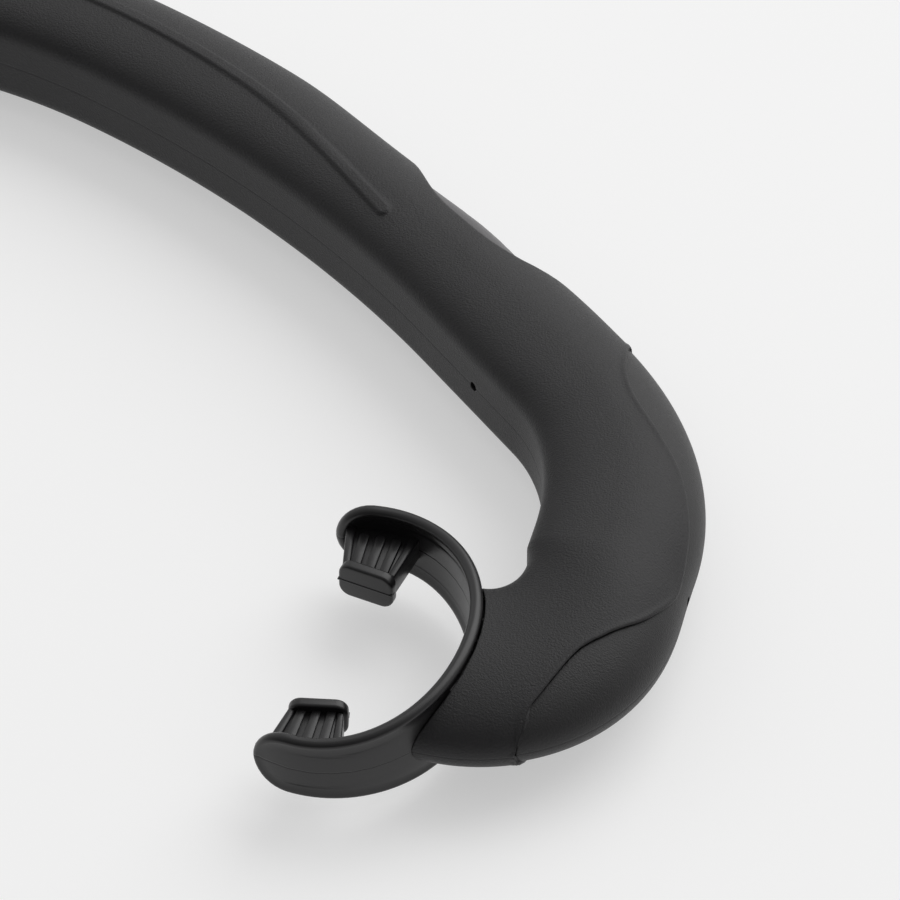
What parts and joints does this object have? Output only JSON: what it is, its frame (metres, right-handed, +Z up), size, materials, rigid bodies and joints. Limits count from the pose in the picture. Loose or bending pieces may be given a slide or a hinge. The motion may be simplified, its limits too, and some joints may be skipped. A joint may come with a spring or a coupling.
{
  "type": "snorkel tube",
  "caption": "J-shaped breathing snorkel: soft-skinned oval tube with a broad bend, a silicone bite mouthpiece and a sliding strap keeper.",
  "frame": {"origin": "middle of the throat, where the mouthpiece's lip shield meets the tube", "axes": "+X from the mouth into the tube along the mouth's axis, +Z up and square to the flank it lies on; the open end points to -X"},
  "size_m": [0.2962, 0.2032, 0.0272],
  "materials": {
    "core": "smooth satin moulded",
    "skin": "fine spark-eroded grain, soft touch",
    "pad": "grained, soft touch",
    "silicone": "smooth silicone, satin",
    "guard": "fine grain",
    "keeper": "satin moulded",
    "stud": "semi-gloss moulded"
  },
  "bodies": {
    "tube": {"core_tube": "core", "grip_skin": "skin", "bend_pad": "pad", "mouthpiece": "silicone", "top_guard": "guard"},
    "keeper": {"keeper_collar": "keeper", "clip_stud": "stud"},
    "clip": {"strap_clip": "keeper"}
  },
  "joints": [
    {"name": "keeper_slide", "type": "slide", "parent": "tube", "child": "keeper", "axis": [1, 0, 0], "range_m": [-0.031, 0.031]},
    {"name": "clip_swivel", "type": "hinge", "parent": "keeper", "child": "clip", "pos_m": [-0.19891, 0.13736, 0], "axis": [0, 1, 0], "range_deg": [-90, 90]}
  ]
}
